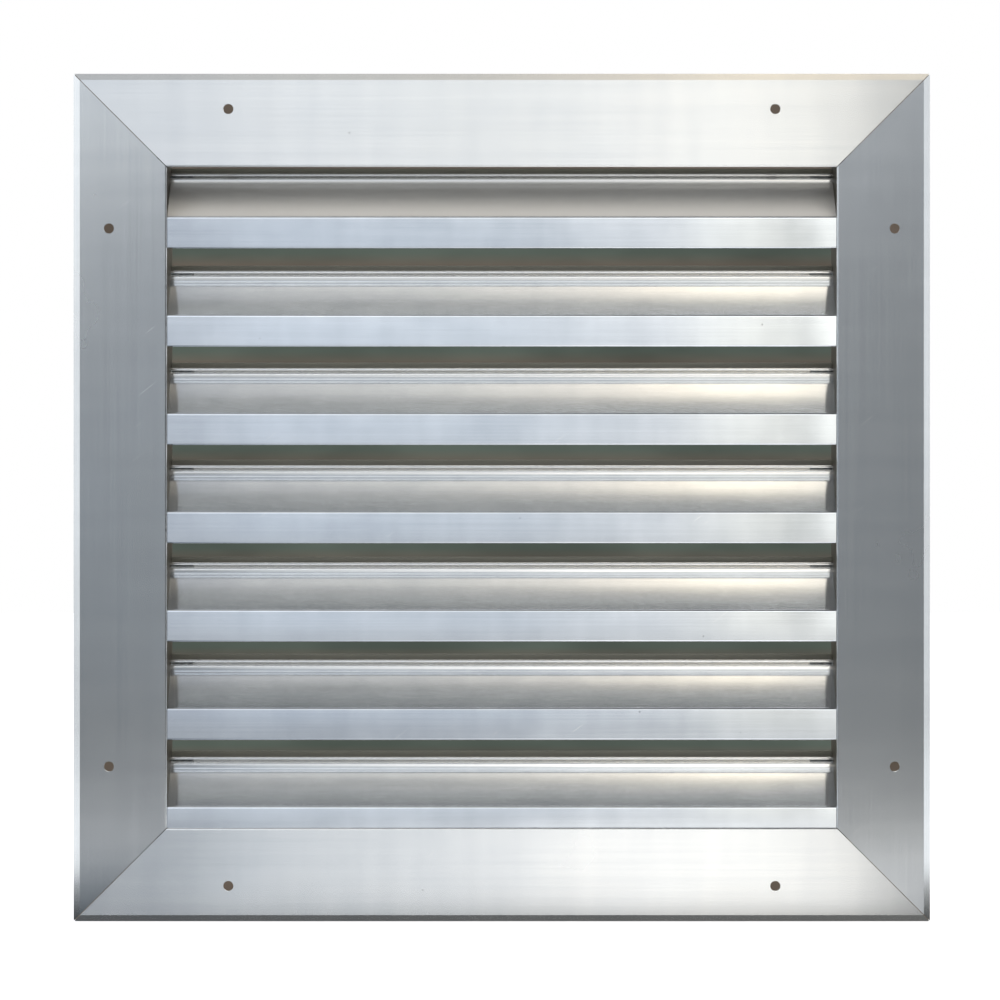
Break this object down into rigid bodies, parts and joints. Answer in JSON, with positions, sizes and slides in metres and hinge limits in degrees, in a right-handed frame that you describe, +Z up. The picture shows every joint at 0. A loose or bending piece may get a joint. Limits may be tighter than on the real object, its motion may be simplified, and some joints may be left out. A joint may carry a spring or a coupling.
{
  "type": "door louver",
  "caption": "Fixed louver of mill-finish extruded aluminium for a door or wall: a mitred flanged frame with plain screw holes, and level blades that rise to the rear.",
  "frame": {"origin": "centre of the opening, on the back face of the flange plate, which is the screw holes' middle", "axes": "+X along the blades to the right seen from the front, +Y through the door to the back, +Z up"},
  "size_m": [0.384, 0.04, 0.38],
  "materials": {
    "frame_extrusion": "mill finish",
    "blade_extrusion": "mill finish",
    "stile": "mill finish",
    "cleat": "mill finish, sawn edges",
    "rivet": "bright",
    "screw": "zinc plated"
  },
  "bodies": {
    "root": {"frame_head": "frame_extrusion", "frame_sill": "frame_extrusion", "frame_jamb_left": "frame_extrusion", "frame_jamb_right": "frame_extrusion", "blade_1": "blade_extrusion", "blade_2": "blade_extrusion", "blade_3": "blade_extrusion", "blade_4": "blade_extrusion", "blade_5": "blade_extrusion", "blade_6": "blade_extrusion", "blade_7": "blade_extrusion", "corner_cleat_top_left": "cleat", "corner_cleat_top_right": "cleat", "corner_cleat_bottom_left": "cleat", "corner_cleat_bottom_right": "cleat", "cleat_rivets_top_left": "rivet", "cleat_rivets_top_right": "rivet", "cleat_rivets_bottom_left": "rivet", "cleat_rivets_bottom_right": "rivet", "stile_left": "stile", "stile_right": "stile", "blade_screws_left": "screw", "blade_screws_right": "screw", "stile_screws_left": "screw", "stile_screws_right": "screw"}
  },
  "joints": []
}
